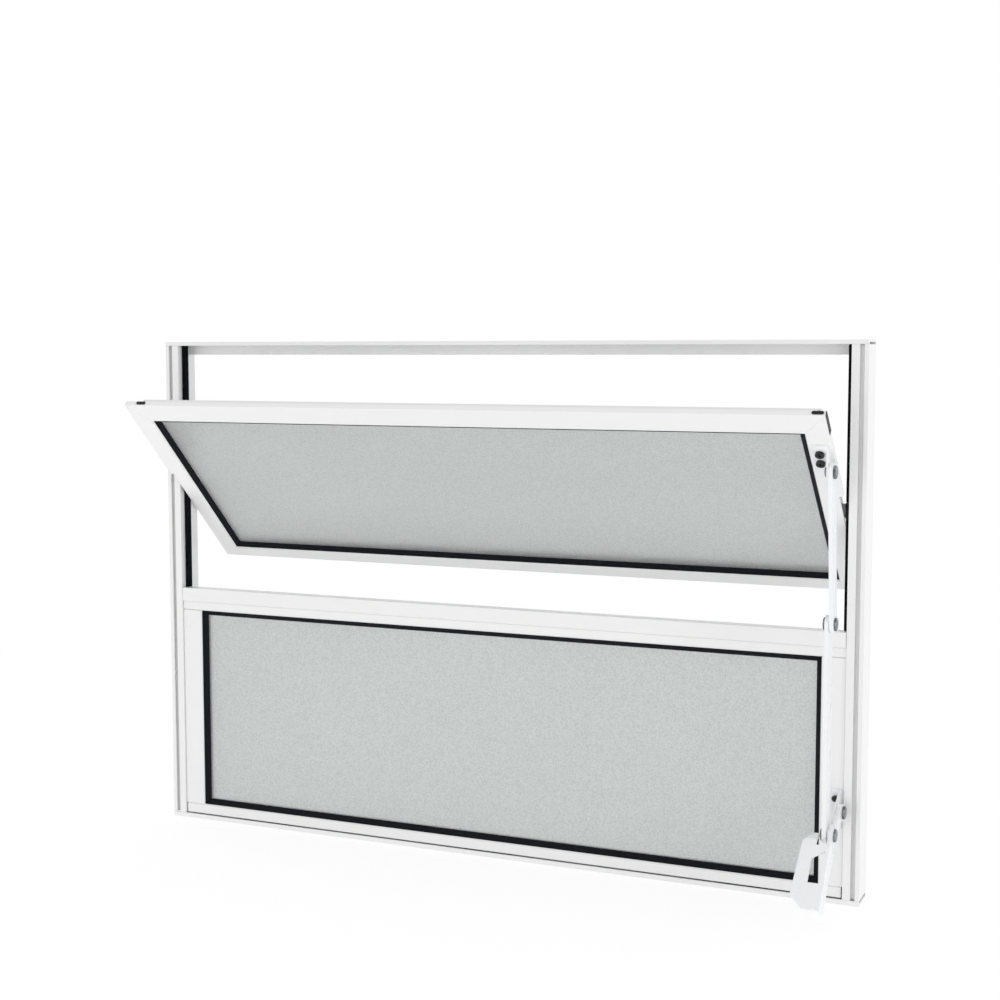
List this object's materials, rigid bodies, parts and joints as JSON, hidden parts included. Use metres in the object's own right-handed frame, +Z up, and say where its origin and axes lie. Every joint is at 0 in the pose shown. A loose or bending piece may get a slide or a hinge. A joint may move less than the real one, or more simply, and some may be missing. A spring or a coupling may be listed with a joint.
{
  "type": "pivoting window with crank lever",
  "caption": "Small white aluminium window: fixed textured pane below, pivoting glazed sash above, opened by a crank lever and two riveted link bars at the right jamb.",
  "frame": {"origin": "middle of the flat underside of the sill, at mid depth of the frame", "axes": "+X to the right along the sill seen from the crank side, +Y through the window away from the crank side, +Z up"},
  "size_m": [0.6, 0.1605, 0.414],
  "materials": {
    "white_aluminium": "glossy white powder coat",
    "raw_aluminium": "die-cast, as made",
    "white_steel": "glossy white powder coat",
    "rivet_steel": "zinc plated, slightly dull",
    "zinc_steel": "zinc plated",
    "dark_screw": "dark oxide",
    "textured_glass": "pebbled rolled glass, pale grey-green",
    "black_gasket": "matt black EPDM",
    "black_strip": "matt black",
    "grey_nylon": "moulded grey nylon",
    "black_plastic": "moulded black"
  },
  "bodies": {
    "frame": {"fixed_bottom_rail": "white_aluminium", "fixed_gasket_bottom": "black_gasket", "fixed_gasket_left": "black_gasket", "fixed_gasket_right": "black_gasket", "fixed_gasket_top": "black_gasket", "fixed_glass": "textured_glass", "fixed_light_cleats": "raw_aluminium", "fixed_light_screws": "zinc_steel", "fixed_stile_left": "white_aluminium", "fixed_stile_right": "white_aluminium", "frame_corner_screws": "zinc_steel", "frame_head": "white_aluminium", "frame_jamb_left": "white_aluminium", "frame_jamb_right": "white_aluminium", "frame_sill": "white_aluminium", "lever_bracket": "white_steel", "lever_bracket_screws": "dark_screw", "lever_pivot_rivet": "rivet_steel", "pivot_block_left": "black_plastic", "pivot_block_right": "black_plastic", "pivot_pin_left": "zinc_steel", "pivot_pin_right": "zinc_steel", "side_screws": "zinc_steel", "sill_packers": "black_plastic", "transom": "white_aluminium", "weatherstrip_left_middle": "black_strip", "weatherstrip_left_upper": "black_strip", "weatherstrip_right_middle": "black_strip", "weatherstrip_right_upper": "black_strip"},
    "sash": {"pivot_washer_left": "grey_nylon", "pivot_washer_right": "grey_nylon", "sash_bottom_rail": "white_aluminium", "sash_bracket": "white_steel", "sash_bracket_rivet": "rivet_steel", "sash_bracket_screws": "dark_screw", "sash_corner_cleats": "raw_aluminium", "sash_corner_plugs": "black_plastic", "sash_gasket_bottom": "black_gasket", "sash_gasket_left": "black_gasket", "sash_gasket_right": "black_gasket", "sash_gasket_top": "black_gasket", "sash_glass": "textured_glass", "sash_stile_left": "white_aluminium", "sash_stile_right": "white_aluminium", "sash_top_rail": "white_aluminium"},
    "upper_bar": {"upper_bar": "white_steel", "bar_rivet": "rivet_steel"},
    "lower_bar": {"lower_bar": "white_steel"},
    "lever": {"lever": "white_steel", "crank_rivet": "rivet_steel", "crank_spacer": "white_steel"}
  },
  "joints": [
    {"name": "sash_pivot", "type": "hinge", "parent": "frame", "child": "sash", "pos_m": [0, -0.0042, 0.2905], "axis": [1, 0, 0], "range_deg": [-46, 0]},
    {"name": "lever_pivot", "type": "hinge", "parent": "frame", "child": "lever", "pos_m": [0.2863, -0.0195, 0.0712], "axis": [1, 0, 0], "range_deg": [-73, 0]},
    {"name": "lower_bar_pivot", "type": "hinge", "parent": "lever", "child": "lower_bar", "pos_m": [0.2825, -0.048, 0.062], "axis": [1, 0, 0], "range_deg": [0, 74.3]},
    {"name": "upper_bar_pivot", "type": "hinge", "parent": "sash", "child": "upper_bar", "pos_m": [0.2858, -0.06155, 0.32238], "axis": [1, 0, 0], "range_deg": [0, 27.9]}
  ],
  "couplings": [
    {"joint": "lever_pivot", "follows": "sash_pivot", "ratio": 1.5818},
    {"joint": "lower_bar_pivot", "follows": "sash_pivot", "ratio": -1.6109},
    {"joint": "upper_bar_pivot", "follows": "sash_pivot", "ratio": -0.6011}
  ]
}
